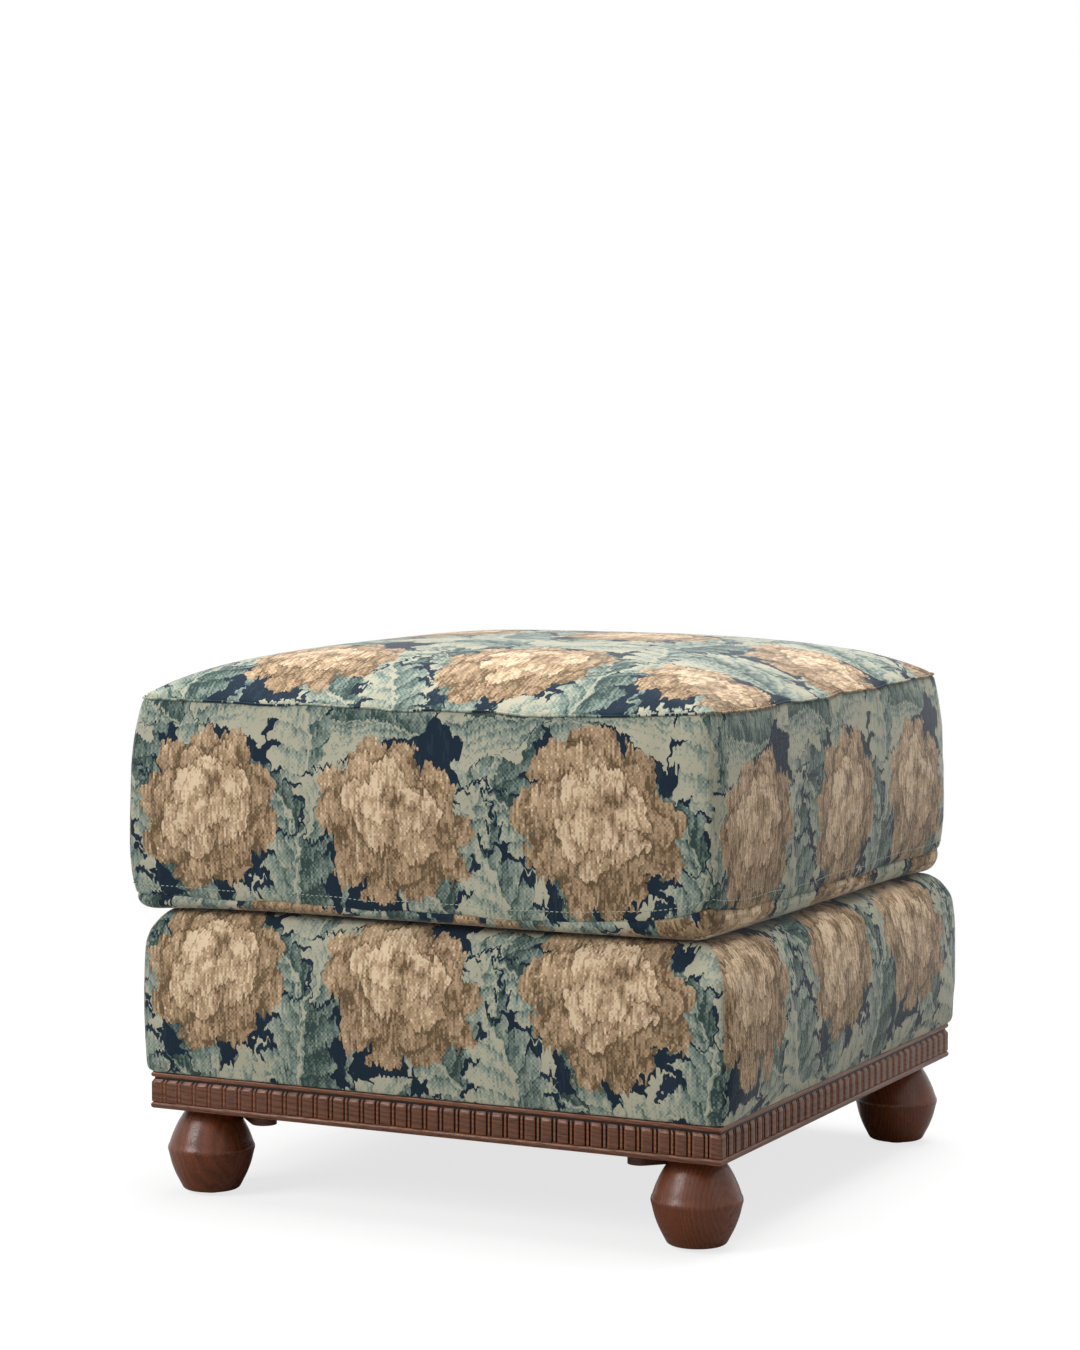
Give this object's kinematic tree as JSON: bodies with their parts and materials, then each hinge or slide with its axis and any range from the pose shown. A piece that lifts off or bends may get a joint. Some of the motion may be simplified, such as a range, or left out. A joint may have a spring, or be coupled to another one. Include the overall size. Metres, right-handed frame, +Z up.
{
  "type": "ottoman",
  "caption": "Square upholstered ottoman: loose zipped box cushion on a padded base, carved wooden plinth and turned bun feet.",
  "frame": {"origin": "on the floor, under the middle of the plinth", "axes": "+X to the right seen from the front, +Y to the back, +Z up; the pictured corner is between -Y and +X"},
  "size_m": [0.5633, 0.5566, 0.48],
  "materials": {
    "turned_oak": "turned, dark stained, satin lacquer",
    "carved_oak": "carved, dark stained, satin lacquer",
    "brace_oak": "sawn, stained, dull",
    "pine": "planed, unfinished",
    "plywood": "sanded, unfinished",
    "beech": "fluted dowel rod, unfinished",
    "nylon": "moulded, matte",
    "zinc_steel": "zinc plated",
    "brass": "antique brass plate",
    "jute_webbing": "woven jute",
    "hessian": "open weave jute",
    "foam": "open cell foam",
    "fibre": "bonded polyester wadding",
    "tapestry": "heavy floral jacquard tapestry",
    "lining_linen": "plain woven platform cloth",
    "cambric": "spunbonded dust cloth",
    "zip_tape": "woven polyester tape",
    "zip_coil": "moulded polyester coil"
  },
  "bodies": {
    "base": {"foot_front_left": "turned_oak", "foot_front_right": "turned_oak", "foot_rear_left": "turned_oak", "foot_rear_right": "turned_oak", "foot_glides": "nylon", "hanger_bolts": "zinc_steel", "insert_nuts": "brass", "plinth_rail_front": "carved_oak", "plinth_rail_right": "carved_oak", "plinth_rail_back": "carved_oak", "plinth_rail_left": "carved_oak", "corner_brace_front_left": "brace_oak", "corner_brace_front_right": "brace_oak", "corner_brace_rear_left": "brace_oak", "corner_brace_rear_right": "brace_oak", "brace_screws": "zinc_steel", "plinth_screws": "zinc_steel", "corner_post_front_left": "pine", "corner_post_front_right": "pine", "corner_post_rear_left": "pine", "corner_post_rear_right": "pine", "frame_panel_front": "plywood", "frame_panel_right": "plywood", "frame_panel_back": "plywood", "frame_panel_left": "plywood", "frame_dowels": "beech", "webbing_lengthwise": "jute_webbing", "webbing_crosswise": "jute_webbing", "webbing_staples": "zinc_steel", "deck_hessian": "hessian", "deck_foam": "foam", "base_foam_front": "foam", "base_foam_right": "foam", "base_foam_back": "foam", "base_foam_left": "foam", "base_cover_front": "tapestry", "base_cover_right": "tapestry", "base_cover_back": "tapestry", "base_cover_left": "tapestry", "cover_staples": "zinc_steel", "deck_cloth": "lining_linen", "dust_cover": "cambric", "dust_cover_staples": "zinc_steel"},
    "cushion": {"cushion_top_panel": "tapestry", "cushion_bottom_panel": "tapestry", "cushion_boxing_front": "tapestry", "cushion_boxing_right": "tapestry", "cushion_boxing_left": "tapestry", "cushion_boxing_back_upper": "tapestry", "cushion_boxing_back_lower": "tapestry", "cushion_foam_core": "foam", "cushion_fibre_top": "fibre", "cushion_fibre_bottom": "fibre", "zip_tapes": "zip_tape", "zip_coil": "zip_coil", "zip_end_stops": "brass"},
    "zip_slider": {"zip_slider": "brass"},
    "zip_pull": {"zip_pull": "brass"}
  },
  "joints": [
    {"name": "cushion_lift", "type": "slide", "parent": "base", "child": "cushion", "axis": [0, 0, 1], "range_m": [0, 0.25]},
    {"name": "zip_travel", "type": "slide", "parent": "cushion", "child": "zip_slider", "axis": [1, 0, 0], "range_m": [0, 0.486]},
    {"name": "pull_swing", "type": "hinge", "parent": "zip_slider", "child": "zip_pull", "pos_m": [-0.2512, 0.2764, 0.354], "axis": [1, 0, 0], "range_deg": [0, 165]}
  ]
}
